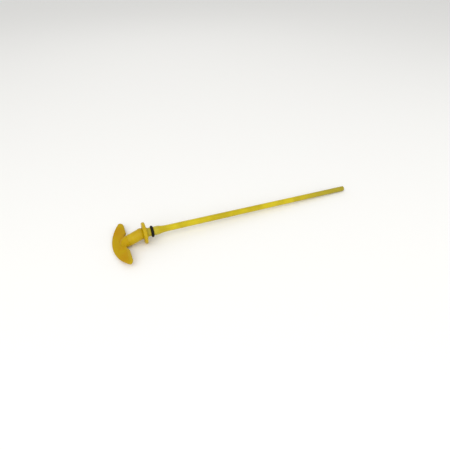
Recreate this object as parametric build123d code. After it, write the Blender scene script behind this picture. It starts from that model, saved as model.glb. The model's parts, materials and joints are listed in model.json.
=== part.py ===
from build123d import *
import math
import os

# Drill paint mixer: a steel-cored plastic shaft with a flange and an O-ring, and a two-winged
# head that swings on a gimbal joint just under the flange.
#
# Each part is drawn in the shaft's own frame: the origin is the middle of the flange, +X runs
# along the shaft to the drill end and +Z is up. The head is drawn straight, about the centre of
# its joint, and then dropped. Last, the mixer is laid on the ground, where it rests on the
# flange rim, the drill end and the outer edge of the blade.

# Shaft
mixer_length = 332.0        # middle of the flange to the tip of the steel core
core_radius = 2.5
core_neck_radius = 2.0      # below the flange, where the hub's mouth swings round it
core_chamfer = 0.5
core_proud = 1.0            # steel showing past the end of the sleeve
sleeve_root_radius = 6.2    # where the sleeve meets the collar
sleeve_flare_end = 31.0
sleeve_radius = 4.65        # just past the flare
shank_radius = 4.0          # 8 mm drill shank
shank_length = 35.0
sleeve_chamfer = 0.6

# Flange, with the dish that the head's dome turns in
flange_radius = 15.2
flange_thickness = 4.6
rim_round = 1.7
boss_radius = 7.5
boss_height = 1.7
flange_hole_radius = 4.0    # filled by the collar's spigot

# Collar and O-ring
collar_radius = 6.2
collar_end = 19.5
oring_x = 10.4
oring_section = 1.8
oring_seat_radius = 4.7
oring_groove_width = 4.0

# Gimbal joint
pivot_depth = 3.2           # joint centre below the flange's underside
joint_gap = 0.3
ball_radius = 4.5
ring_inner_radius = 4.8
ring_outer_radius = 5.7
ring_width = 4.4
pin_radius = 1.2
running_clearance = 0.05
max_tilt = 23.4             # furthest that the head leans, both tilts together, in degrees
rest_swing = 1.5            # the head lies a little to one side, towards -Y, in degrees

# Head
dome_radius = 8.1
mouth_height = 6.0          # rim of the hub above the joint centre
mouth_radius = 5.1
hub_radius = 7.85
hub_cavity = 6.0
cavity_depth = 6.6
spigot_radius = 6.0
spigot_flat = 4.6           # the spigot is flattened at top and bottom so that it can't turn
hub_seam = 17.6             # where the hub sleeve ends and the blade moulding starts
nose_start = 19.5           # the nose is an ellipsoid that fades into both faces of the blade
nose_end = 31.0

blade_reach = 43.0          # joint centre to the outer edge
blade_arc_radius = 60.4
blade_thickness = 3.2
blade_edge_chamfer = 0.7
wing_inner = 20.3           # joint centre to the wings' drill-side edge
tip_radius = 3.7
root_centre = (0.4, 6.0)    # arc that cuts each wing back beside the hub
root_radius = 24.0
root_blend = 8.0
lip_width = 5.0             # strip of each wing that is turned, one up and one down
lip_angle = 28.0
lip_start = 7.0             # the turned strip starts inside the hub
prism_half = 8.0            # half depth of the block that the wings are cut from
overrun = 1.0               # how far a cutting shape runs past what it cuts
corner_window = 0.01        # for picking out the corners of the blade's outline

# Values worked out from the ones above
flange_half = flange_thickness / 2
sleeve_end = mixer_length - core_proud
pivot_x = -flange_half - pivot_depth
dish_radius = dome_radius + joint_gap
rim_angle = math.degrees(math.acos(mouth_height / dome_radius))
dish_height = dome_radius * math.cos(math.radians(rim_angle - max_tilt)) + joint_gap

# Slope of the shaft when the rounded flange rim and the sleeve's end both touch the ground
sleeve_touch = sleeve_end - sleeve_chamfer
rim_lead = flange_half - rim_round      # centres of the rim's rounding, each side of the middle
drop = flange_radius - rim_round - shank_radius
run = sleeve_touch - rim_lead
shaft_slope = math.degrees(math.atan2(drop, run) + math.asin(rim_round / math.hypot(drop, run)))

# Droop of the head below the shaft's line when the blade's lower edge touches the ground
flange_centre_height = ((flange_radius - rim_round) * math.cos(math.radians(shaft_slope))
                        + rim_lead * math.sin(math.radians(shaft_slope)) + rim_round)
pivot_height = flange_centre_height - pivot_x * math.sin(math.radians(shaft_slope))
blade_half = blade_thickness / 2
edge_reach = math.hypot(blade_reach - blade_edge_chamfer, blade_half)
edge_lead = math.atan2(blade_half, blade_reach - blade_edge_chamfer)
head_slope = math.degrees(math.asin(pivot_height / edge_reach) - edge_lead)
head_droop = head_slope + shaft_slope


def turned(points):
    """A solid of revolution about X, from (x, radius) points of half its section."""
    section = make_face(Polyline(*[(x, 0, r) for x, r in points], close=True))
    return revolve(section, Axis.X, 360)


def rod(radius, x_from, x_to):
    """A round bar along X."""
    return turned([(x_from, 0), (x_to, 0), (x_to, radius), (x_from, radius)])


def cross_rod(radius, start, end, direction):
    """A round bar across the joint centre, from start to end along a direction."""
    plane = Plane(origin=Vector(*direction) * start, z_dir=direction)
    return extrude(plane * Circle(radius), end - start)


def core_rod():
    """Steel rod through the whole shaft, necked down under the flange to enter the ball."""
    foot = pivot_x + ball_radius / 2
    shoulder = pivot_x + dish_height
    tip = mixer_length
    return turned([(foot, 0), (tip, 0), (tip, core_radius - core_chamfer),
                   (tip - core_chamfer, core_radius), (shoulder, core_radius),
                   (shoulder, core_neck_radius), (foot, core_neck_radius)])


def shaft_sleeve():
    """Plastic sleeve with a flared root, a slight draft and a straight drill shank."""
    profile = [(collar_end, core_radius), (sleeve_end, core_radius),
               (sleeve_end, shank_radius - sleeve_chamfer),
               (sleeve_end - sleeve_chamfer, shank_radius),
               (sleeve_end - sleeve_chamfer - shank_length, shank_radius),
               (sleeve_flare_end, sleeve_radius), (collar_end, sleeve_root_radius)]
    return turned(profile)


def coupling_collar():
    """Neck with the O-ring groove, and a spigot that fills the hole in the flange."""
    boss_top = flange_half + boss_height
    spigot_end = pivot_x + dish_height
    groove_near = oring_x - oring_groove_width / 2
    groove_far = oring_x + oring_groove_width / 2
    profile = [(spigot_end, core_radius), (collar_end, core_radius), (collar_end, collar_radius),
               (groove_far, collar_radius), (groove_far, oring_seat_radius),
               (groove_near, oring_seat_radius), (groove_near, collar_radius),
               (boss_top, collar_radius), (boss_top, flange_hole_radius),
               (spigot_end, flange_hole_radius)]
    return turned(profile)


def o_ring():
    """Rubber ring seated on the bottom of the groove."""
    seat = Plane(origin=(oring_x, 0, 0), z_dir=(1, 0, 0))
    return seat * Torus(oring_seat_radius + oring_section, oring_section)


def flange_cup():
    """Round-rimmed disc with a boss, hollowed from below for the head's dome."""
    rim = flange_radius - rim_round
    turn = rim_round * math.sin(math.radians(45))
    boss_top = flange_half + boss_height
    hole = flange_hole_radius
    lip = math.sqrt(dish_radius ** 2 - pivot_depth ** 2)
    dish_top = pivot_x + math.sqrt(dish_radius ** 2 - hole ** 2)
    half_way = math.radians(45)
    dish_mid = (pivot_x + dish_radius * math.cos(half_way), 0, dish_radius * math.sin(half_way))
    section = (ThreePointArc((-flange_half, 0, lip), dish_mid, (dish_top, 0, hole))
               + Polyline((dish_top, 0, hole), (boss_top, 0, hole), (boss_top, 0, boss_radius),
                          (flange_half, 0, boss_radius), (flange_half, 0, rim))
               + ThreePointArc((flange_half, 0, rim), (rim_lead + turn, 0, rim + turn),
                               (rim_lead, 0, flange_radius))
               + Line((rim_lead, 0, flange_radius), (-rim_lead, 0, flange_radius))
               + ThreePointArc((-rim_lead, 0, flange_radius), (-rim_lead - turn, 0, rim + turn),
                               (-flange_half, 0, rim))
               + Line((-flange_half, 0, rim), (-flange_half, 0, lip)))
    return revolve(make_face(section), Axis.X, 360)


def drive_ball():
    """Steel ball on the end of the core rod, cross-drilled for the ball pin."""
    ball = Sphere(ball_radius)
    socket = rod(core_neck_radius, ball_radius / 2, ball_radius)
    hole = cross_rod(pin_radius + running_clearance, -ball_radius, ball_radius, (0, 0, 1))
    return Pos(pivot_x, 0, 0) * (ball - socket - hole)


def gimbal_ring():
    """Ring around the ball, drilled upright for the ball pin and across for the hub's pins."""
    ring = Sphere(ring_outer_radius) & rod(ring_outer_radius, -ring_width / 2, ring_width / 2)
    ring -= Sphere(ring_inner_radius)
    reach = ring_outer_radius
    ring -= cross_rod(pin_radius, -reach, reach, (0, 0, 1))
    ring -= cross_rod(pin_radius + running_clearance, -reach, reach, (0, 1, 0))
    return ring


def ball_pin():
    """Pin pressed into the ring, on which the ring turns on the ball."""
    half = math.sqrt(ring_outer_radius ** 2 - pin_radius ** 2)
    return cross_rod(pin_radius, -half, half, (0, 0, 1))


def hub_pins():
    """Two plastic pins pressed through the hub's wall, on which the head turns on the ring."""
    outer = math.sqrt(dome_radius ** 2 - pin_radius ** 2)
    inner = ring_inner_radius + running_clearance
    sides = [cross_rod(pin_radius, inner, outer, (0, side, 0)) for side in (-1, 1)]
    return Compound(children=sides)


def spigot(radius, flat, start, end):
    """Round plug with two flats, along the straight head from start to end."""
    bar = rod(radius, -end, -start)
    return bar & Box(4 * end, 4 * radius, 2 * flat)


def on_sphere(radius, height):
    """Point of a sphere's section about the joint centre, at a height towards the shaft."""
    return (height, 0, math.sqrt(radius ** 2 - height ** 2))


def hub_sleeve():
    """Domed sleeve round the joint. The ring and ball go in from the blade's end."""
    rim = on_sphere(dome_radius, mouth_height)
    shoulder = on_sphere(dome_radius, -math.sqrt(dome_radius ** 2 - hub_radius ** 2))
    outside = (Polyline(shoulder, (-hub_seam, 0, hub_radius), (-hub_seam, 0, 0),
                        (mouth_height, 0, 0), rim)
               + ThreePointArc(rim, on_sphere(dome_radius, mouth_height / 2), shoulder))
    throat = on_sphere(hub_cavity, math.sqrt(hub_cavity ** 2 - mouth_radius ** 2))
    equator = on_sphere(hub_cavity, 0)
    above = 2 * mouth_height
    inside = (Polyline(equator, (-cavity_depth, 0, hub_cavity), (-cavity_depth, 0, 0),
                       (above, 0, 0), (above, 0, mouth_radius), throat)
              + ThreePointArc(throat, on_sphere(hub_cavity, throat[0] / 2), equator))
    body = revolve(make_face(outside), Axis.X, 360) - revolve(make_face(inside), Axis.X, 360)
    body -= spigot(spigot_radius, spigot_flat, cavity_depth, hub_seam)
    for side in (-1, 1):
        body -= cross_rod(pin_radius, hub_cavity - overrun, dome_radius + overrun, (0, side, 0))
    return body


def blade_outline():
    """Two-winged outline in the head's own plane, wings along Y and outer edge towards -X."""
    arc_x = blade_arc_radius - blade_reach
    tip_x = -wing_inner - tip_radius
    tip_y = math.sqrt((blade_arc_radius - tip_radius) ** 2 - (tip_x - arc_x) ** 2)
    stretch = blade_arc_radius / (blade_arc_radius - tip_radius)
    touch_x = arc_x + (tip_x - arc_x) * stretch
    touch_y = tip_y * stretch
    lean = math.atan2(touch_y - tip_y, touch_x - tip_x) / 2
    middle_x = tip_x + tip_radius * math.cos(lean)
    middle_y = tip_y + tip_radius * math.sin(lean)
    edge = ThreePointArc((touch_x, -touch_y), (-blade_reach, 0), (touch_x, touch_y))
    for side in (-1, 1):
        edge += ThreePointArc((touch_x, side * touch_y), (middle_x, side * middle_y),
                              (-wing_inner, side * tip_y))
    edge += Line((-wing_inner, -tip_y), (-wing_inner, tip_y))
    outline = make_face(edge)
    x, y = root_centre
    for side in (-1, 1):
        outline -= Pos(-x, side * y) * Circle(root_radius)
    corners = [v for v in outline.vertices() if abs(v.X + wing_inner) < corner_window]
    corners = [v for v in corners if abs(v.Y) < tip_y - tip_radius]
    return fillet(corners, root_blend)


def rim_bevel():
    """Disc about the outer arc's centre, bevelled so that it trims both faces of the blade."""
    land = blade_half - blade_edge_chamfer
    face = blade_arc_radius - prism_half + land
    section = Polyline((0, 0, -prism_half), (face, 0, -prism_half), (blade_arc_radius, 0, -land),
                       (blade_arc_radius, 0, land), (face, 0, prism_half), (0, 0, prism_half),
                       close=True)
    disc = revolve(make_face(section), Axis.Z, 360)
    return Pos(blade_arc_radius - blade_reach, 0, 0) * disc


def wing_slab(side):
    """Bent plate that one wing is cut from: flat, then turned near the drill-side edge.

    The strip is turned down on the +Y wing and up on the -Y wing.
    """
    bend_x = -wing_inner - lip_width
    far = -blade_reach - overrun
    rise = -side * math.tan(math.radians(lip_angle))
    lip_end = -wing_inner + overrun
    lift = (lip_end - bend_x) * rise
    points = [(far, -blade_half), (bend_x, -blade_half), (lip_end, lift - blade_half),
              (lip_end, lift + blade_half), (bend_x, blade_half), (far, blade_half)]
    section = make_face(Plane.XZ * Polyline(*points, close=True))
    span = blade_arc_radius
    slab = extrude(section, amount=span, both=True)
    width = span - lip_start
    keep = Box(2 * span, width, 2 * prism_half)
    return slab & Pos(0, side * (lip_start + width / 2), 0) * keep


def blade():
    """Blade moulding: two wings, the nose that runs onto them and the spigot in the hub."""
    prism = extrude(blade_outline(), amount=prism_half, both=True) & rim_bevel()
    body = prism & Box(2 * blade_arc_radius, 2 * lip_start, blade_thickness)
    for side in (-1, 1):
        body += prism & wing_slab(side)
    nose = rod(hub_radius, -nose_start, -hub_seam)
    nose += Pos(-nose_start, 0, 0) * scale(Sphere(hub_radius),
                                           ((nose_end - nose_start) / hub_radius, 1, 1))
    nose -= rod(2 * hub_radius, -hub_seam, 0)
    body += nose + spigot(spigot_radius, spigot_flat, cavity_depth, hub_seam)
    return body


def swung(shape):
    """A piece drawn about the joint centre, moved to the joint and swung to the side."""
    return Pos(pivot_x, 0, 0) * Rot(0, 0, rest_swing) * shape


def dropped(shape):
    """A piece of the straight head, moved to the joint, swung to the side and let down."""
    return swung(Rot(0, -head_droop, 0) * shape)


def main():
    parts = {
        "core_rod": core_rod(),
        "shaft_sleeve": shaft_sleeve(),
        "coupling_collar": coupling_collar(),
        "o_ring": o_ring(),
        "flange_cup": flange_cup(),
        "drive_ball": drive_ball(),
        "gimbal_ring": swung(gimbal_ring()),
        "ball_pin": swung(ball_pin()),
        "hub_pins": dropped(hub_pins()),
        "hub_sleeve": dropped(hub_sleeve()),
        "blade": dropped(blade()),
    }
    laid = {name: Rot(0, shaft_slope, 0) * shape for name, shape in parts.items()}
    box = Compound(children=[Compound(s.solids()) for s in laid.values()]).bounding_box()
    centre = box.center()
    shift = Pos(-centre.X, -centre.Y, -box.min.Z)
    os.makedirs("parts", exist_ok=True)
    for name, shape in laid.items():
        export_step(shift * shape, "parts/" + name + ".step")
    place = shift * Rot(0, shaft_slope, 0)
    print("joint", (place * Pos(pivot_x, 0, 0)).position)
    print("swing axis", place.z_axis.direction)
    print("tilt axis", (place * Rot(0, 0, rest_swing)).y_axis.direction)
    print("shank end", (place * Pos(sleeve_touch, 0, 0)).position, place.x_axis.direction)
    print("droop", head_droop, "size", box.size)


main()
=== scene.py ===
import json
import math
import bmesh
import bpy
from mathutils import Matrix, Vector


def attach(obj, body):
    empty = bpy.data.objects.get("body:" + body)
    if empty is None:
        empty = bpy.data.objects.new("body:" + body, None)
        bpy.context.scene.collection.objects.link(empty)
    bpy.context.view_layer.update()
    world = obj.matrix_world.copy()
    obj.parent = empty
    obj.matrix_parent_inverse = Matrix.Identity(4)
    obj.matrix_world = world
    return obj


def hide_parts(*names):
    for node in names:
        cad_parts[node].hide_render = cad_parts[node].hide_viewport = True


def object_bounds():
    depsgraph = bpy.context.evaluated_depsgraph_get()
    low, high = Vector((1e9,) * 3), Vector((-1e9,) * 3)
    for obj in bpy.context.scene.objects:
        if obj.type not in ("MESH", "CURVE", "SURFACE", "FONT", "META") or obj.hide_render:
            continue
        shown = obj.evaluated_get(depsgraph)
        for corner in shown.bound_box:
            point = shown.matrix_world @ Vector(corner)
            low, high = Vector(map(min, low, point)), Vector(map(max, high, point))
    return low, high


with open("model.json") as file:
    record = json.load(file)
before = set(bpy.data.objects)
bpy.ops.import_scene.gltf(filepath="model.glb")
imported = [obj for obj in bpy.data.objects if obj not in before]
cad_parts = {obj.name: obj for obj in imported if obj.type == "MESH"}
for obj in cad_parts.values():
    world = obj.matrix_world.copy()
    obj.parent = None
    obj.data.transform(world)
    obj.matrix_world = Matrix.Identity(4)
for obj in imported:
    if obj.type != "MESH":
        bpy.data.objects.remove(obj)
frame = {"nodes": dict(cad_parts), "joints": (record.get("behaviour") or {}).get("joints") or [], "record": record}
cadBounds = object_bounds()

# Pieces are modelled in millimetres, straight along X, and then set down in the frame.
# The shaft's pieces are drawn about the middle of the flange, the head's about the joint.
layout = {"jointBelowFlange": 5.5, "millimetre": 0.001}


def middleOf(limits):
    return math.radians(sum(limits) / 2)


hinges = {joint["name"]: joint for joint in frame["joints"]}
shankAxis = Vector(frame["record"]["mounts"][0]["axis"]).normalized()
jointCentre = Vector(hinges["head_tilt"]["pos_m"])
shaftSlope = math.asin(-shankAxis.z)
headDroop = middleOf(hinges["head_tilt"]["range_deg"])
headSwing = -middleOf(hinges["side_swing"]["range_deg"])
flangeCentre = jointCentre + shankAxis * layout["jointBelowFlange"] * layout["millimetre"]
millimetres = Matrix.Scale(layout["millimetre"], 4)
shaftTurn = Matrix.Rotation(shaftSlope, 4, "Y")
shaftPlace = Matrix.Translation(flangeCentre) @ shaftTurn @ millimetres
headTurn = shaftTurn @ Matrix.Rotation(headSwing, 4, "Z") @ Matrix.Rotation(-headDroop, 4, "Y")
headPlace = Matrix.Translation(jointCentre) @ headTurn @ millimetres


def linear(colour):
    # screen colour, 0 to 255 a channel, to the linear values that shaders take
    steps = [c / 255 for c in colour]
    flat = [c / 12.92 if c <= 0.04045 else ((c + 0.055) / 1.055) ** 2.4 for c in steps]
    return (*flat, 1)


def newGroup(name, inputs, outputs):
    group = bpy.data.node_groups.new(name, "ShaderNodeTree")
    for label, kind, value in inputs:
        socket = group.interface.new_socket(label, in_out="INPUT", socket_type="NodeSocket" + kind)
        if value is not None:
            socket.default_value = value
    for label, kind in outputs:
        group.interface.new_socket(label, in_out="OUTPUT", socket_type="NodeSocket" + kind)
    return group, group.nodes.new("NodeGroupInput"), group.nodes.new("NodeGroupOutput")


def addNode(tree, kind, **settings):
    node = tree.nodes.new("ShaderNode" + kind)
    for name, value in settings.items():
        setattr(node, name, value)
    return node


def addMath(tree, operation, first, second, third=None):
    node = addNode(tree, "Math", operation=operation)
    for socket, value in zip(node.inputs, (first, second, third)):
        if isinstance(value, bpy.types.NodeSocket):
            tree.links.new(value, socket)
        elif value is not None:
            socket.default_value = value
    return node.outputs[0]


def addRange(tree, value, low, high, toLow=0.0, toHigh=1.0):
    node = addNode(tree, "MapRange", interpolation_type="SMOOTHSTEP")
    tree.links.new(value, node.inputs["Value"])
    for name, number in (("From Min", low), ("From Max", high), ("To Min", toLow), ("To Max", toHigh)):
        if isinstance(number, bpy.types.NodeSocket):
            tree.links.new(number, node.inputs[name])
        else:
            node.inputs[name].default_value = number
    return node.outputs["Result"]


def addMix(tree, factor, first, second):
    node = addNode(tree, "Mix", data_type="RGBA")
    for socket, value in ((node.inputs[0], factor), (node.inputs[6], first), (node.inputs[7], second)):
        if isinstance(value, bpy.types.NodeSocket):
            tree.links.new(value, socket)
        else:
            socket.default_value = value
    return node.outputs[2]


def noiseAt(tree, vector, scale, detail=2.0, roughness=0.5):
    node = addNode(tree, "TexNoise")
    tree.links.new(vector, node.inputs["Vector"])
    node.inputs["Detail"].default_value = detail
    node.inputs["Roughness"].default_value = roughness
    if isinstance(scale, bpy.types.NodeSocket):
        tree.links.new(scale, node.inputs["Scale"])
    else:
        node.inputs["Scale"].default_value = scale
    return node.outputs["Fac"]


# cloudy change of tone where the plastic flowed in the mould, and its few dark specks
toneDims = {"swirlScale": 30.0, "pull": 0.02, "cloudEdges": (0.36, 0.66), "speckScale": 1900.0,
            "speckEdges": (0.68, 0.78)}
tone, toneIn, toneOut = newGroup(
    "flowTone",
    [("Vector", "Vector", None), ("Cloud Scale", "Float", 45.0), ("Swirl", "Float", 0.35)],
    [("Cloud", "Float"), ("Speck", "Float")])
swirl = noiseAt(tone, toneIn.outputs["Vector"], toneDims["swirlScale"], detail=1.0)
pulled = addNode(tone, "VectorMath", operation="MULTIPLY_ADD")
swirlVector = addNode(tone, "CombineXYZ")
for axis in range(3):
    tone.links.new(addMath(tone, "MULTIPLY", swirl, addMath(
        tone, "MULTIPLY", toneIn.outputs["Swirl"], toneDims["pull"])), swirlVector.inputs[axis])
tone.links.new(toneIn.outputs["Vector"], pulled.inputs[0])
pulled.inputs[1].default_value = (1, 1, 1)
tone.links.new(swirlVector.outputs[0], pulled.inputs[2])
cloud = noiseAt(tone, pulled.outputs[0], toneIn.outputs["Cloud Scale"], detail=3.0, roughness=0.55)
tone.links.new(addRange(tone, cloud, *toneDims["cloudEdges"]), toneOut.inputs["Cloud"])
speck = noiseAt(tone, toneIn.outputs["Vector"], toneDims["speckScale"], detail=1.0)
tone.links.new(addRange(tone, speck, *toneDims["speckEdges"]), toneOut.inputs["Speck"])

# fine skin of a moulded or rubbed surface: a height for the bump and a share for the gloss
grainDims = {"patchEdges": (0.35, 0.65)}
grain, grainIn, grainOut = newGroup(
    "skinGrain",
    [("Vector", "Vector", None), ("Grain Scale", "Float", 1500.0), ("Ripple Scale", "Float", 160.0),
     ("Ripple Share", "Float", 0.35)],
    [("Height", "Float"), ("Gloss Patch", "Float")])
fine = noiseAt(grain, grainIn.outputs["Vector"], grainIn.outputs["Grain Scale"], detail=3.0, roughness=0.6)
ripple = noiseAt(grain, grainIn.outputs["Vector"], grainIn.outputs["Ripple Scale"], roughness=0.45)
rippled = addMath(grain, "MULTIPLY", ripple, grainIn.outputs["Ripple Share"])
grain.links.new(addMath(grain, "ADD", fine, rippled), grainOut.inputs["Height"])
grain.links.new(addRange(grain, ripple, *grainDims["patchEdges"]), grainOut.inputs["Gloss Patch"])

# thin scratches that run one way, the way the piece is handled or was drawn
marksDims = {"patchScale": 70.0, "lineEdges": (0.60, 0.70), "patchEdges": (0.45, 0.62)}
marks, marksIn, marksOut = newGroup(
    "rubMarks",
    [("Vector", "Vector", None), ("Stretch", "Vector", (40.0, 1400.0, 1400.0)),
     ("Share", "Float", 0.3)],
    [("Marks", "Float")])
stretched = addNode(marks, "VectorMath", operation="MULTIPLY")
marks.links.new(marksIn.outputs["Vector"], stretched.inputs[0])
marks.links.new(marksIn.outputs["Stretch"], stretched.inputs[1])
lines = noiseAt(marks, stretched.outputs[0], scale=1.0, roughness=0.6)
patches = noiseAt(marks, marksIn.outputs["Vector"], marksDims["patchScale"], detail=1.0)
sharpLines = addRange(marks, lines, *marksDims["lineEdges"])
whereRubbed = addRange(marks, patches, *marksDims["patchEdges"])
marks.links.new(addMath(marks, "MULTIPLY", addMath(
    marks, "MULTIPLY", sharpLines, whereRubbed), marksIn.outputs["Share"]), marksOut.inputs["Marks"])

# edges paler, partly from wear and partly as a painted highlight, and inner corners darker as painted shade, from
# how the surface turns
edgeDims = {"paintedCornerShade": (0.50, 0.44)}
edges, edgesIn, edgesOut = newGroup(
    "edgeWearSheenAndCornerShade",
    [("Low", "Float", 0.50), ("High", "Float", 0.56)],
    [("Edge Wear And Sheen", "Float"), ("Painted Corner Shade", "Float")])
bend = addNode(edges, "NewGeometry").outputs["Pointiness"]
edges.links.new(addRange(edges, bend, edgesIn.outputs["Low"], edgesIn.outputs["High"]),
                edgesOut.inputs["Edge Wear And Sheen"])
edges.links.new(addRange(edges, bend, *edgeDims["paintedCornerShade"]), edgesOut.inputs["Painted Corner Shade"])


def placeGroup(tree, group, vector=None, **values):
    node = addNode(tree, "Group", node_tree=group)
    if vector is not None:
        tree.links.new(vector, node.inputs["Vector"])
    for name, value in values.items():
        node.inputs[name].default_value = value
    return node


def startMaterial(name, turn):
    # a material whose pattern runs along the piece, by turning its own Object coordinates
    material = bpy.data.materials.new(name)
    material.use_nodes = True
    tree = material.node_tree
    shader = tree.nodes["Principled BSDF"]
    place = addNode(tree, "TexCoord")
    mapping = addNode(tree, "Mapping")
    mapping.inputs["Rotation"].default_value = turn
    tree.links.new(place.outputs["Object"], mapping.inputs["Vector"])
    return material, tree, shader, mapping.outputs["Vector"]


def addBump(tree, shader, height, strength, depth):
    bump = addNode(tree, "Bump")
    bump.inputs["Strength"].default_value = strength
    bump.inputs["Distance"].default_value = depth
    tree.links.new(height, bump.inputs["Height"])
    tree.links.new(bump.outputs["Normal"], shader.inputs["Normal"])


skinDims = {"rubDulling": 0.25, "bumpDepth": 0.00012, "ior": 1.49, "glowReach": (0.0012, 0.0008, 0.0002),
            "endStreakStretch": (900.0, 260.0, 260.0), "endStreakShare": 0.7, "endStreakBase": 0.42}


def makePlastic(name, look, turn):
    material, tree, shader, vector = startMaterial(name, turn)
    toneNode = placeGroup(tree, tone, vector, **{"Cloud Scale": look["cloudScale"]})
    grainNode = placeGroup(tree, grain, vector, **{"Grain Scale": look["grainScale"]})
    marksNode = placeGroup(tree, marks, vector, **{"Share": look["rubbed"]})
    edgeNode = placeGroup(tree, edges)
    colour = addMix(tree, toneNode.outputs["Cloud"], linear(look["deep"]), linear(look["bright"]))
    # painted shade: inner corners are darkened towards the shade colour
    paintedCornerShade = addMath(tree, "MULTIPLY", edgeNode.outputs["Painted Corner Shade"], look["paintedCornerShade"])
    colour = addMix(tree, paintedCornerShade, colour, linear(look["shadeAndSpeck"]))
    # edges paler: partly wear, partly a painted highlight
    edgeWearAndSheen = addMath(tree, "MULTIPLY", edgeNode.outputs["Edge Wear And Sheen"], look["edgeWearAndSheen"])
    colour = addMix(tree, edgeWearAndSheen, colour, linear(look["pale"]))
    colour = addMix(tree, marksNode.outputs["Marks"], colour, linear(look["pale"]))
    grime = addMath(tree, "MULTIPLY", toneNode.outputs["Speck"], look["specks"])
    colour = addMix(tree, grime, colour, linear(look["shadeAndSpeck"]))
    if "greyerTowardsEnd" in look:
        # the colour turns greyer and darker towards the drill end, with faint streaks along the shaft
        split = addNode(tree, "SeparateXYZ")
        tree.links.new(vector, split.inputs["Vector"])
        towardsEnd = addRange(tree, split.outputs["X"], *look["greyerTowardsEnd"])
        endStreaks = placeGroup(tree, marks, vector, **{"Stretch": skinDims["endStreakStretch"],
                                                  "Share": skinDims["endStreakShare"]})
        streakedShare = addMath(tree, "ADD", endStreaks.outputs["Marks"], skinDims["endStreakBase"])
        towardsEnd = addMath(tree, "MULTIPLY", towardsEnd, streakedShare)
        colour = addMix(tree, towardsEnd, colour, linear(look["endGrey"]))
    tree.links.new(colour, shader.inputs["Base Color"])
    gloss = addRange(tree, grainNode.outputs["Gloss Patch"], 0, 1, *look["gloss"])
    rubbed = addMath(tree, "MULTIPLY", marksNode.outputs["Marks"], skinDims["rubDulling"])
    gloss = addMath(tree, "ADD", gloss, rubbed)
    tree.links.new(gloss, shader.inputs["Roughness"])
    addBump(tree, shader, grainNode.outputs["Height"], look["bump"], skinDims["bumpDepth"])
    shader.inputs["IOR"].default_value = skinDims["ior"]
    shader.inputs["Specular IOR Level"].default_value = look["shine"]
    shader.inputs["Subsurface Weight"].default_value = look["glow"]
    shader.inputs["Subsurface Radius"].default_value = skinDims["glowReach"]
    shader.inputs["Subsurface Scale"].default_value = 1.0
    return material


print("materials: plastics")
shaftLie = (0, -shaftSlope, 0)
headLie = (0, headDroop - shaftSlope, -headSwing)
shaftLook = {"deep": (184, 163, 4), "bright": (204, 184, 12), "pale": (208, 193, 58),
             "shadeAndSpeck": (132, 116, 14), "cloudScale": 38.0, "grainScale": 1500.0, "rubbed": 0.28,
             "edgeWearAndSheen": 0.30, "paintedCornerShade": 0.5, "greyerTowardsEnd": (0.08, 0.19), "endGrey": (126, 120, 44), "specks": 0.18,
             "gloss": (0.30, 0.42), "bump": 0.16, "glow": 0.04, "shine": 0.28}
collarLook = {"deep": (176, 159, 20), "bright": (185, 168, 32), "pale": (198, 186, 76),
              "shadeAndSpeck": (122, 107, 18), "cloudScale": 60.0, "grainScale": 1700.0, "rubbed": 0.2,
              "edgeWearAndSheen": 0.35, "paintedCornerShade": 0.6, "specks": 0.15, "gloss": (0.32, 0.44), "bump": 0.16,
              "glow": 0.04, "shine": 0.28}
headLook = {"deep": (186, 153, 0), "bright": (195, 166, 4), "pale": (202, 178, 46), "shadeAndSpeck": (122, 100, 6),
            "cloudScale": 55.0, "grainScale": 1500.0, "rubbed": 0.22, "edgeWearAndSheen": 0.30, "paintedCornerShade": 0.6,
            "specks": 0.15, "gloss": (0.32, 0.46), "bump": 0.18, "glow": 0.04, "shine": 0.22}
bladeLook = {"deep": (182, 138, 0), "bright": (184, 155, 0), "pale": (192, 168, 32), "shadeAndSpeck": (114, 94, 6),
             "cloudScale": 42.0, "grainScale": 1300.0, "rubbed": 0.30, "edgeWearAndSheen": 0.30, "paintedCornerShade": 0.6,
             "specks": 0.2, "gloss": (0.38, 0.52), "bump": 0.22, "glow": 0.03, "shine": 0.12}
shaftPlastic = makePlastic("shaftPlastic", shaftLook, shaftLie)
collarPlastic = makePlastic("collarPlastic", collarLook, shaftLie)
headPlastic = makePlastic("headPlastic", headLook, headLie)
flangePlastic = makePlastic("flangePlastic", headLook, shaftLie)
bladePlastic = makePlastic("bladePlastic", bladeLook, headLie)

print("materials: rubber and steel")
rubberLook = {"black": (10, 8, 6), "bloom": (34, 30, 26), "gloss": (0.5, 0.66), "grainScale": 2600.0,
              "rippleScale": 420.0, "cloudScale": 260.0, "dust": 0.3, "specks": 0.6, "shine": 0.2,
              "bump": 0.25, "bumpDepth": 0.0001}
sealRubber, tree, shader, vector = startMaterial("sealRubber", shaftLie)
grainNode = placeGroup(tree, grain, vector, **{"Grain Scale": rubberLook["grainScale"],
                                               "Ripple Scale": rubberLook["rippleScale"]})
toneNode = placeGroup(tree, tone, vector, **{"Cloud Scale": rubberLook["cloudScale"]})
specks = addMath(tree, "MULTIPLY", toneNode.outputs["Speck"], rubberLook["specks"])
dusty = addMath(tree, "MULTIPLY_ADD", toneNode.outputs["Cloud"], rubberLook["dust"], specks)
tree.links.new(addMix(tree, dusty, linear(rubberLook["black"]), linear(rubberLook["bloom"])),
               shader.inputs["Base Color"])
tree.links.new(addRange(tree, grainNode.outputs["Gloss Patch"], 0, 1, *rubberLook["gloss"]),
               shader.inputs["Roughness"])
shader.inputs["Specular IOR Level"].default_value = rubberLook["shine"]
addBump(tree, shader, grainNode.outputs["Height"], rubberLook["bump"], rubberLook["bumpDepth"])

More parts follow.
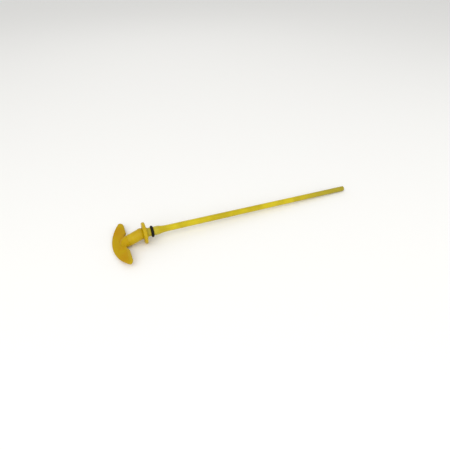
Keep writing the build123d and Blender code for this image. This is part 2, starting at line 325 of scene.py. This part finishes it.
steelLook = {"light": (176, 174, 168), "dark": (112, 108, 100), "stain": (96, 82, 60), "gloss": (0.26, 0.44),
             "drawn": (60.0, 3200.0, 3200.0), "drawnShare": 0.9, "cloudScale": 320.0, "grainScale": 2400.0,
             "rippleScale": 500.0, "stained": 0.35, "metal": 0.9, "bump": 0.3, "bumpDepth": 0.00005}
coreSteel, tree, shader, vector = startMaterial("coreSteel", shaftLie)
marksNode = placeGroup(tree, marks, vector, **{"Stretch": steelLook["drawn"],
                                               "Share": steelLook["drawnShare"]})
toneNode = placeGroup(tree, tone, vector, **{"Cloud Scale": steelLook["cloudScale"]})
grainNode = placeGroup(tree, grain, vector, **{"Grain Scale": steelLook["grainScale"],
                                               "Ripple Scale": steelLook["rippleScale"]})
colour = addMix(tree, marksNode.outputs["Marks"], linear(steelLook["dark"]), linear(steelLook["light"]))
stained = addMath(tree, "MULTIPLY", toneNode.outputs["Cloud"], steelLook["stained"])
tree.links.new(addMix(tree, stained, colour, linear(steelLook["stain"])), shader.inputs["Base Color"])
tree.links.new(addRange(tree, grainNode.outputs["Gloss Patch"], 0, 1, *steelLook["gloss"]),
               shader.inputs["Roughness"])
shader.inputs["Metallic"].default_value = steelLook["metal"]
addBump(tree, shader, marksNode.outputs["Marks"], steelLook["bump"], steelLook["bumpDepth"])

# how close points are when they count as one, as on one ring, or as level with each other
meshDims = {"weld": 0.0005, "near": 0.01, "level": 0.001}


def startChain(x, radius):
    bm = bmesh.new()
    return bm, bm.verts.new((x, 0, radius))


def lineTo(bm, vert, x, radius):
    end = bm.verts.new((x, 0, radius))
    bm.edges.new((vert, end))
    return end


def arcAbout(bm, vert, centre, axis, degrees, steps):
    swept = bmesh.ops.spin(bm, geom=[vert], cent=centre, axis=axis, angle=math.radians(degrees), steps=steps)
    return [g for g in swept["geom_last"] if isinstance(g, bmesh.types.BMVert)][0]


def lathe(bm, steps):
    # turns the drawn half section once about X
    bmesh.ops.spin(bm, geom=bm.verts[:] + bm.edges[:], cent=(0, 0, 0), axis=(1, 0, 0),
                   angle=2 * math.pi, steps=steps, use_merge=True)
    bmesh.ops.remove_doubles(bm, verts=bm.verts, dist=meshDims["weld"])
    bmesh.ops.recalc_face_normals(bm, faces=bm.faces)


def bevelEdges(bm, rim, width, segments, clamp=True):
    bmesh.ops.bevel(bm, geom=rim, offset=width, offset_type="OFFSET", affect="EDGES", segments=segments,
                    profile=0.5, material=-1, clamp_overlap=clamp)


def roundRing(bm, x, radius, width, segments):
    # rounds the ring of edges at one place along a turned piece
    def onRing(vert):
        outBy = math.hypot(vert.co.y, vert.co.z) - radius
        return abs(vert.co.x - x) < meshDims["near"] and abs(outBy) < meshDims["near"]
    bevelEdges(bm, [e for e in bm.edges if onRing(e.verts[0]) and onRing(e.verts[1])], width, segments)


def raiseSeams(bm, height, fromX, toX, aboveRadius):
    # the faint line down both sides where the mould's halves met
    for vert in bm.verts:
        radius = math.hypot(vert.co.y, vert.co.z)
        if fromX < vert.co.x < toX and radius > aboveRadius and abs(vert.co.z) < meshDims["near"]:
            vert.co.y += math.copysign(height, vert.co.y)


def finishPiece(bm, name, place, body, node, material, sharpAngle=32):
    bmesh.ops.transform(bm, matrix=place, verts=bm.verts)
    mesh = bpy.data.meshes.new(name)
    bm.to_mesh(mesh)
    bm.free()
    mesh.shade_smooth()
    mesh.set_sharp_from_angle(angle=math.radians(sharpAngle))
    mesh.materials.append(material)
    piece = bpy.data.objects.new(name, mesh)
    bpy.context.scene.collection.objects.link(piece)
    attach(piece, body)
    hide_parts(node)
    print("  piece", name, len(mesh.polygons), "faces")


print("pieces: shaft")
sleeveDims = {"collarEnd": 19.5, "flareEnd": 31.0, "flareRadius": 4.65, "flareArc": 43.44, "flareSteps": 10,
              "shankRadius": 4.0, "shankStart": 295.4, "end": 331.0, "boreRadius": 2.5,
              "endRound": 0.55, "boreEdge": 0.2, "footEdge": 0.3,
              "seamHeight": 0.09, "seamMargin": 1, "seamAbove": 3.5, "steps": 96}
dims = sleeveDims
bm, first = startChain(dims["collarEnd"], dims["boreRadius"])
last = lineTo(bm, first, dims["end"], dims["boreRadius"])
last = lineTo(bm, last, dims["end"], dims["shankRadius"])
last = lineTo(bm, last, dims["shankStart"], dims["shankRadius"])
last = lineTo(bm, last, dims["flareEnd"], dims["flareRadius"])
flareTurn = math.degrees(math.asin((dims["flareEnd"] - dims["collarEnd"]) / dims["flareArc"]))
last = arcAbout(bm, last, (dims["flareEnd"], 0, dims["flareRadius"] + dims["flareArc"]), (0, 1, 0),
                flareTurn, dims["flareSteps"])
flareTop = last.co.z
bm.edges.new((last, first))
lathe(bm, dims["steps"])
roundRing(bm, dims["end"], dims["shankRadius"], dims["endRound"], 4)
roundRing(bm, dims["end"], dims["boreRadius"], dims["boreEdge"], 2)
roundRing(bm, dims["collarEnd"], flareTop, dims["footEdge"], 3)
raiseSeams(bm, dims["seamHeight"], dims["collarEnd"] + dims["seamMargin"],
           dims["end"] - dims["seamMargin"], dims["seamAbove"])
finishPiece(bm, "shaftSleeve", shaftPlace, "shaft", "shaft_sleeve", shaftPlastic)

coreDims = {"foot": -3.25, "neckRadius": 2.0, "shoulder": 2.468, "radius": 2.5, "tip": 332.0,
            "tipRound": 0.45, "centreMark": 0.5, "steps": 48}
dims = coreDims
bm, first = startChain(dims["foot"], 0)
last = lineTo(bm, first, dims["foot"], dims["neckRadius"])
last = lineTo(bm, last, dims["shoulder"], dims["neckRadius"])
last = lineTo(bm, last, dims["shoulder"], dims["radius"])
last = lineTo(bm, last, dims["tip"], dims["radius"])
last = lineTo(bm, last, dims["tip"], dims["centreMark"])
last = lineTo(bm, last, dims["tip"] - dims["centreMark"], 0)
lathe(bm, dims["steps"])
roundRing(bm, dims["tip"], dims["radius"], dims["tipRound"], 2)
finishPiece(bm, "coreRod", shaftPlace, "shaft", "core_rod", coreSteel)

collarDims = {"foot": 2.468, "boreRadius": 2.5, "end": 19.5, "radius": 6.2, "grooveNear": 8.4,
              "grooveFar": 12.4, "grooveRadius": 4.7, "bossTop": 4.0, "spigotRadius": 4.0,
              "edge": 0.3, "steps": 96}
dims = collarDims
bm, first = startChain(dims["foot"], dims["boreRadius"])
last = lineTo(bm, first, dims["end"], dims["boreRadius"])
last = lineTo(bm, last, dims["end"], dims["radius"])
last = lineTo(bm, last, dims["grooveFar"], dims["radius"])
last = lineTo(bm, last, dims["grooveFar"], dims["grooveRadius"])
last = lineTo(bm, last, dims["grooveNear"], dims["grooveRadius"])
last = lineTo(bm, last, dims["grooveNear"], dims["radius"])
last = lineTo(bm, last, dims["bossTop"], dims["radius"])
last = lineTo(bm, last, dims["bossTop"], dims["spigotRadius"])
last = lineTo(bm, last, dims["foot"], dims["spigotRadius"])
bm.edges.new((last, first))
lathe(bm, dims["steps"])
for ringX in ("end", "grooveFar", "grooveNear", "bossTop"):
    roundRing(bm, dims[ringX], dims["radius"], dims["edge"], 3)
for ringX in ("grooveFar", "grooveNear"):
    roundRing(bm, dims[ringX], dims["grooveRadius"], dims["edge"], 2)
finishPiece(bm, "couplingCollar", shaftPlace, "shaft", "coupling_collar", collarPlastic)

sealDims = {"middle": 10.4, "seat": 4.7, "section": 1.8, "sectionSteps": 28, "steps": 112}
dims = sealDims
bm, first = startChain(dims["middle"], dims["seat"])
arcAbout(bm, first, (dims["middle"], 0, dims["seat"] + dims["section"]), (0, 1, 0), 360,
         dims["sectionSteps"])
bmesh.ops.remove_doubles(bm, verts=bm.verts, dist=meshDims["level"])
lathe(bm, dims["steps"])
finishPiece(bm, "oRing", shaftPlace, "shaft", "o_ring", sealRubber, sharpAngle=60)

flangeDims = {"half": 2.3, "radius": 15.2, "rimRound": 1.7, "bossRadius": 7.5, "bossTop": 4.0, "hole": 4.0,
              "dishCentre": -5.5, "dishRadius": 8.4, "bossEdge": 0.6, "bossFoot": 0.9,
              "dishEdge": 0.3, "dishSteps": 10, "steps": 112}
dims = flangeDims
dishLip = math.sqrt(dims["dishRadius"] ** 2 - (dims["dishCentre"] + dims["half"]) ** 2)
dishTurn = math.acos(dims["hole"] / dims["dishRadius"]) - math.acos(dishLip / dims["dishRadius"])
bm, first = startChain(-dims["half"], dishLip)
last = arcAbout(bm, first, (dims["dishCentre"], 0, 0), (0, 1, 0), math.degrees(dishTurn), dims["dishSteps"])
last = lineTo(bm, last, dims["bossTop"], dims["hole"])
last = lineTo(bm, last, dims["bossTop"], dims["bossRadius"])
last = lineTo(bm, last, dims["half"], dims["bossRadius"])
last = lineTo(bm, last, dims["half"], dims["radius"])
last = lineTo(bm, last, -dims["half"], dims["radius"])
bm.edges.new((last, first))
lathe(bm, dims["steps"])
roundRing(bm, dims["half"], dims["radius"], dims["rimRound"], 6)
roundRing(bm, -dims["half"], dims["radius"], dims["rimRound"], 6)
roundRing(bm, dims["bossTop"], dims["bossRadius"], dims["bossEdge"], 4)
roundRing(bm, dims["half"], dims["bossRadius"], dims["bossFoot"], 4)
roundRing(bm, -dims["half"], dishLip, dims["dishEdge"], 3)
finishPiece(bm, "flangeCup", shaftPlace, "shaft", "flange_cup", flangePlastic)


print("pieces: head")
hubDims = {"cavityFloor": -6.6, "cavity": 6.0, "mouthRadius": 5.1, "mouthHeight": 6.0, "dome": 8.1,
           "radius": 7.85, "seam": -17.6, "mouthEdge": 0.14, "seamEdge": 0.3, "partingHeight": 0.09,
           "partingMargin": 0.5, "partingEnd": -3, "partingAbove": 7, "throatSteps": 8, "domeSteps": 18,
           "steps": 96}
dims = hubDims
throat = math.degrees(math.acos(dims["mouthRadius"] / dims["cavity"]))
domeTop = math.degrees(math.asin(dims["mouthHeight"] / dims["dome"]))
domeFoot = math.degrees(math.acos(dims["radius"] / dims["dome"]))
rimRadius = dims["dome"] * math.cos(math.radians(domeTop))
bm, first = startChain(dims["cavityFloor"], 0)
last = lineTo(bm, first, dims["cavityFloor"], dims["cavity"])
last = lineTo(bm, last, 0, dims["cavity"])
last = arcAbout(bm, last, (0, 0, 0), (0, 1, 0), throat, dims["throatSteps"])
last = lineTo(bm, last, dims["mouthHeight"], dims["mouthRadius"])
last = lineTo(bm, last, dims["mouthHeight"], rimRadius)
last = arcAbout(bm, last, (0, 0, 0), (0, 1, 0), -(domeTop + domeFoot), dims["domeSteps"])
last = lineTo(bm, last, dims["seam"], dims["radius"])
last = lineTo(bm, last, dims["seam"], 0)
lathe(bm, dims["steps"])
roundRing(bm, dims["mouthHeight"], rimRadius, dims["mouthEdge"], 2)
roundRing(bm, dims["mouthHeight"], dims["mouthRadius"], dims["mouthEdge"], 2)
roundRing(bm, dims["seam"], dims["radius"], dims["seamEdge"], 3)
raiseSeams(bm, dims["partingHeight"], dims["seam"] + dims["partingMargin"], dims["partingEnd"],
           dims["partingAbove"])
finishPiece(bm, "hubSleeve", headPlace, "head", "hub_sleeve", headPlastic)

pinDims = {"radius": 1.2, "inner": 4.85, "outer": 8.2, "crown": 0.25, "steps": 40}
dims = pinDims
bm = bmesh.new()
for side in (-1, 1):
    middle = side * (dims["inner"] + dims["outer"]) / 2
    lie = Matrix.Translation((0, middle, 0)) @ Matrix.Rotation(math.pi / 2, 4, "X")
    bmesh.ops.create_cone(bm, cap_ends=True, segments=dims["steps"], radius1=dims["radius"],
                          radius2=dims["radius"], depth=dims["outer"] - dims["inner"], matrix=lie)
ends = [e for e in bm.edges if abs(e.verts[0].co.y - e.verts[1].co.y) < meshDims["level"]]
bevelEdges(bm, ends, dims["crown"], 3)
finishPiece(bm, "hubPins", headPlace, "head", "hub_pins", headPlastic)

# The blade's outline is drawn as arcs on one side, mirrored and filled. It is thickened, rounded
# along its edges and cut into a fine net, whose points are then raised over the nose and turned
# at the drill-side strip of each wing.
bladeDims = {"reach": 43.0, "outerArc": 60.4, "tipArc": 3.7, "inner": 20.3, "rootCentre": (-0.4, 6.0),
             "rootArc": 24.0, "rootBlend": 8.0, "notch": 2.0, "half": 1.6, "edgeRound": 0.75,
             "barrel": 7.85, "barrelEnd": 19.5, "noseEnd": 31.0, "seam": 17.62, "seamEdge": 0.3,
             "fillet": 2.2, "filletFoot": 0.979, "filletLap": 0.5, "notchY": 9.67, "stripWidth": 5.0,
             "stripAngle": 28.0, "stripEase": 1.1, "stripStart": (0.0, 1.8), "runOutAlong": (-22.9, -22.15),
             "runOutAcross": (0.02, 0.4), "net": 0.45, "wingNet": 1.3, "netSteps": 22, "netInset": 0.9995,
             "netGap": 0.3, "fineTo": 13, "netMargin": 1, "pastNose": 3, "roundPast": -30,
             "roundBeside": 0.05, "crownCore": 0.2, "mirrorWeld": 0.001, "outlineWeld": 0.002,
             "netWeld": 0.004, "probe": 0.01, "edgeSteps": 48, "tipSteps": 16, "blendSteps": 6,
             "rootSteps": 9, "notchSteps": 8, "barrelSteps": 6}
dims = bladeDims


def noseRadius(x):
    # the barrel, with a softened end at the seam, and then the long round nose
    if x > -dims["seam"] - dims["seamEdge"]:
        return dims["barrel"] - dims["seamEdge"] * (1 + (x + dims["seam"]) / dims["seamEdge"]) ** 2
    along = (-x - dims["barrelEnd"]) / (dims["noseEnd"] - dims["barrelEnd"])
    return dims["barrel"] * math.sqrt(max(0, 1 - max(0, along) ** 2))


def tangentArc(bm, vert, centre, toPoint, steps, turn):
    # an arc about a centre until it points the same way as toPoint; turn is 1 or -1
    start = Vector((vert.co.x - centre[0], vert.co.y - centre[1]))
    stop = Vector((toPoint[0] - centre[0], toPoint[1] - centre[1]))
    angle = (math.atan2(stop.y, stop.x) - math.atan2(start.y, start.x)) * turn % (2 * math.pi) * turn
    return arcAbout(bm, vert, (centre[0], centre[1], 0), (0, 0, 1), math.degrees(angle), steps)


arcX = dims["outerArc"] - dims["reach"]
tipX = -dims["inner"] - dims["tipArc"]
tipY = math.sqrt((dims["outerArc"] - dims["tipArc"]) ** 2 - (tipX - arcX) ** 2)
rootX, rootY = dims["rootCentre"]
blendX = -dims["inner"] - dims["rootBlend"]
blendY = rootY + math.sqrt((dims["rootArc"] + dims["rootBlend"]) ** 2 - (blendX - rootX) ** 2)
notchReach = dims["rootArc"] - dims["notch"]
notchY = dims["notchY"]
notchX = rootX - math.sqrt(notchReach ** 2 - (notchY - rootY) ** 2)
probe = dims["probe"]
noseSlope = (noseRadius(notchX + probe) - noseRadius(notchX - probe)) / (2 * probe)
notchNormal = Vector((-noseSlope, 1)).normalized() * dims["notch"]

bm = bmesh.new()
vert = bm.verts.new((-dims["reach"], 0, 0))
vert = tangentArc(bm, vert, (arcX, 0), (tipX, tipY), dims["edgeSteps"], -1)
vert = tangentArc(bm, vert, (tipX, tipY), (0, tipY), dims["tipSteps"], -1)
corner = bm.verts.new((-dims["inner"], blendY, 0))
bm.edges.new((vert, corner))
vert = tangentArc(bm, corner, (blendX, blendY), (rootX, rootY), dims["blendSteps"], -1)
vert = tangentArc(bm, vert, (rootX, rootY), (notchX, notchY), dims["rootSteps"], 1)
notchEnd = (notchX - notchNormal.x, notchY - notchNormal.y)
vert = tangentArc(bm, vert, (notchX, notchY), notchEnd, dims["notchSteps"], 1)
sideX = vert.co.x
for step in range(1, dims["barrelSteps"] + 1):
    x = sideX + (-dims["seam"] - dims["seamEdge"] - sideX) * step / dims["barrelSteps"]
    point = bm.verts.new((x, noseRadius(x), 0))
    bm.edges.new((vert, point))
    vert = point
for x, y in ((-dims["seam"], noseRadius(-dims["seam"])), (-dims["seam"], 0)):
    point = bm.verts.new((x, y, 0))
    bm.edges.new((vert, point))
    vert = point
bmesh.ops.mirror(bm, geom=bm.verts[:] + bm.edges[:], axis="Y", merge_dist=dims["mirrorWeld"])
bmesh.ops.remove_doubles(bm, verts=bm.verts, dist=dims["outlineWeld"])
bmesh.ops.contextual_create(bm, geom=bm.edges[:])
thick = bmesh.ops.extrude_face_region(bm, geom=bm.faces[:])
raised = [g for g in thick["geom"] if isinstance(g, bmesh.types.BMVert)]
bmesh.ops.translate(bm, vec=(0, 0, 2 * dims["half"]), verts=raised)
bmesh.ops.translate(bm, vec=(0, 0, -dims["half"]), verts=bm.verts)
bmesh.ops.recalc_face_normals(bm, faces=bm.faces)


def roundsOver(edge):
    middle = (edge.verts[0].co + edge.verts[1].co) / 2
    flat = abs(edge.verts[0].co.z - edge.verts[1].co.z) < meshDims["level"]
    beside = abs(middle.y) > noseRadius(sideX) + dims["roundBeside"]
    return flat and (middle.x < dims["roundPast"] or beside)


bevelEdges(bm, [e for e in bm.edges if roundsOver(e)], dims["edgeRound"], 4, clamp=False)


def cutAcross(bm, at, normal):
    bmesh.ops.bisect_plane(bm, geom=bm.verts[:] + bm.edges[:] + bm.faces[:], dist=meshDims["weld"],
                           plane_co=[at * n for n in normal], plane_no=normal)


netX = -dims["seam"] - dims["seamEdge"]
while netX > -dims["reach"] + dims["netMargin"]:
    cutAcross(bm, netX, (1, 0, 0))
    netX -= dims["net"] if netX > -dims["noseEnd"] - dims["pastNose"] else dims["wingNet"]
for step in range(-dims["netSteps"], dims["netSteps"] + 1):
    # closer together towards the barrel's sides, where its surface is steep
    across = math.sin(math.radians(90 * step / dims["netSteps"]))
    cutAcross(bm, dims["barrel"] * across * dims["netInset"], (0, 1, 0))
netY = dims["barrel"] + dims["netGap"]
while netY < tipY + dims["tipArc"]:
    cutAcross(bm, netY, (0, 1, 0))
    cutAcross(bm, -netY, (0, 1, 0))
    netY += dims["net"] if netY < dims["fineTo"] else dims["wingNet"]


def ease(value, low, high):
    share = min(1, max(0, (value - low) / (high - low)))
    return share * share * (3 - 2 * share)


def plateShare(x, y):
    # the wings' plate runs out into the nose beside the notch, and the barrel behind it stays round
    beside = ease(abs(y) - noseRadius(x), *dims["runOutAcross"])
    return 1 - ease(x, *dims["runOutAlong"]) * (1 - beside)


def surfaceHeight(x, y):
    # half height of the nose and of the fillet round its foot
    radius = noseRadius(x)
    crown = math.sqrt(max(0, radius ** 2 - y * y))
    u = max(0, -x - dims["barrelEnd"]) / (dims["noseEnd"] - dims["barrelEnd"])
    v = abs(y) / dims["barrel"]
    ring = math.hypot(u, v)
    if ring < dims["crownCore"]:
        return crown
    slope = math.hypot(u / (dims["noseEnd"] - dims["barrelEnd"]), v / dims["barrel"]) / ring
    outside = (ring - dims["filletFoot"]) / slope + dims["filletLap"]
    if 0 <= outside < dims["fillet"]:
        rise = dims["fillet"] - math.sqrt(dims["fillet"] ** 2 - (dims["fillet"] - outside) ** 2)
        return max(crown, (dims["half"] + rise) * plateShare(x, y))
    return crown


def stripLift(x, y):
    # down on the +Y wing and up on the -Y one, easing in from the hub
    past = x + dims["inner"] + dims["stripWidth"]
    soft = dims["stripEase"]
    run = 0 if past < -soft else past if past > soft else (past + soft) ** 2 / (4 * soft)
    side = ease(abs(y) - noseRadius(x), *dims["stripStart"]) * (-1 if y > 0 else 1)
    return side * run * math.tan(math.radians(dims["stripAngle"]))


for vert in bm.verts:
    x, y, z = vert.co
    share = z / dims["half"]
    plate = abs(z) * plateShare(x, y)
    nose = surfaceHeight(x, y) * abs(share)
    vert.co.z = math.copysign(max(plate, nose), z) + stripLift(x, y)
bmesh.ops.remove_doubles(bm, verts=bm.verts, dist=dims["netWeld"])
bmesh.ops.dissolve_degenerate(bm, dist=meshDims["weld"], edges=bm.edges)
bmesh.ops.recalc_face_normals(bm, faces=bm.faces)
finishPiece(bm, "mixingBlade", headPlace, "head", "blade", bladePlastic, sharpAngle=50)

for node in ("drive_ball", "gimbal_ring", "ball_pin"):
    inner = frame["nodes"][node]
    inner.data.materials.clear()
    inner.data.materials.append(coreSteel)


print("stage: floor, lights, camera")
stageLook = {"floor": (250, 249, 246), "fibre": (246, 246, 244), "fibreScale": 900.0, "roughness": 0.9,
             "shine": 0.1, "floorHalf": 14.0, "sky": 0.70}
bm = bmesh.new()
bmesh.ops.create_grid(bm, x_segments=2, y_segments=2, size=stageLook["floorHalf"])
floorMesh = bpy.data.meshes.new("floor")
bm.to_mesh(floorMesh)
bm.free()
floor = bpy.data.objects.new("floor", floorMesh)
bpy.context.scene.collection.objects.link(floor)
floorPaper, tree, shader, vector = startMaterial("floorPaper", (0, 0, 0))
fibre = noiseAt(tree, vector, stageLook["fibreScale"], detail=3.0)
tree.links.new(addMix(tree, fibre, linear(stageLook["floor"]), linear(stageLook["fibre"])),
               shader.inputs["Base Color"])
shader.inputs["Roughness"].default_value = stageLook["roughness"]
shader.inputs["Specular IOR Level"].default_value = stageLook["shine"]
floorMesh.materials.append(floorPaper)

world = bpy.data.worlds.new("studio")
world.use_nodes = True
world.node_tree.nodes["Background"].inputs["Color"].default_value = (1, 1, 1, 1)
world.node_tree.nodes["Background"].inputs["Strength"].default_value = stageLook["sky"]
bpy.context.scene.world = world

objectMiddle = (cadBounds[0] + cadBounds[1]) / 2
softBoxes = {
    "keyLight": {"from": (-0.60, -0.80, 1.00), "size": 1.8, "watts": 11.5, "tint": (1.0, 0.99, 0.97)},
    "fillLight": {"from": (0.95, -0.60, 0.75), "size": 0.9, "watts": 2.0, "tint": (0.98, 0.99, 1.0)},
    "backLight": {"from": (0.10, 0.95, 0.90), "size": 0.9, "watts": 1.0, "tint": (1.0, 1.0, 1.0)}}
for name, box in softBoxes.items():
    light = bpy.data.lights.new(name, "AREA")
    light.shape = "SQUARE"
    light.size = box["size"]
    light.energy = box["watts"]
    light.color = box["tint"]
    lamp = bpy.data.objects.new(name, light)
    lamp.location = objectMiddle + Vector(box["from"])
    lamp.rotation_euler = (-Vector(box["from"])).to_track_quat("-Z", "Y").to_euler()
    bpy.context.scene.collection.objects.link(lamp)

viewDims = {"fromFlange": (-0.0265, -0.3737, 0.3291), "forward": (0.27374, 0.69913, -0.66055),
            "right": (0.93074, -0.36575, -0.00301), "lens": 28.0, "sensor": 36.0, "clipStart": 0.01}
forward = Vector(viewDims["forward"]).normalized()
right = Vector(viewDims["right"])
right = (right - forward * right.dot(forward)).normalized()
upward = right.cross(forward)
cameraData = bpy.data.cameras.new("camera")
cameraData.lens = viewDims["lens"]
cameraData.sensor_width = viewDims["sensor"]
cameraData.clip_start = viewDims["clipStart"]
camera = bpy.data.objects.new("camera", cameraData)
turn = Matrix((right, upward, -forward)).transposed().to_4x4()
camera.matrix_world = Matrix.Translation(flangeCentre + Vector(viewDims["fromFlange"])) @ turn
bpy.context.scene.collection.objects.link(camera)
bpy.context.scene.camera = camera
bpy.context.scene.view_settings.view_transform = "Standard"
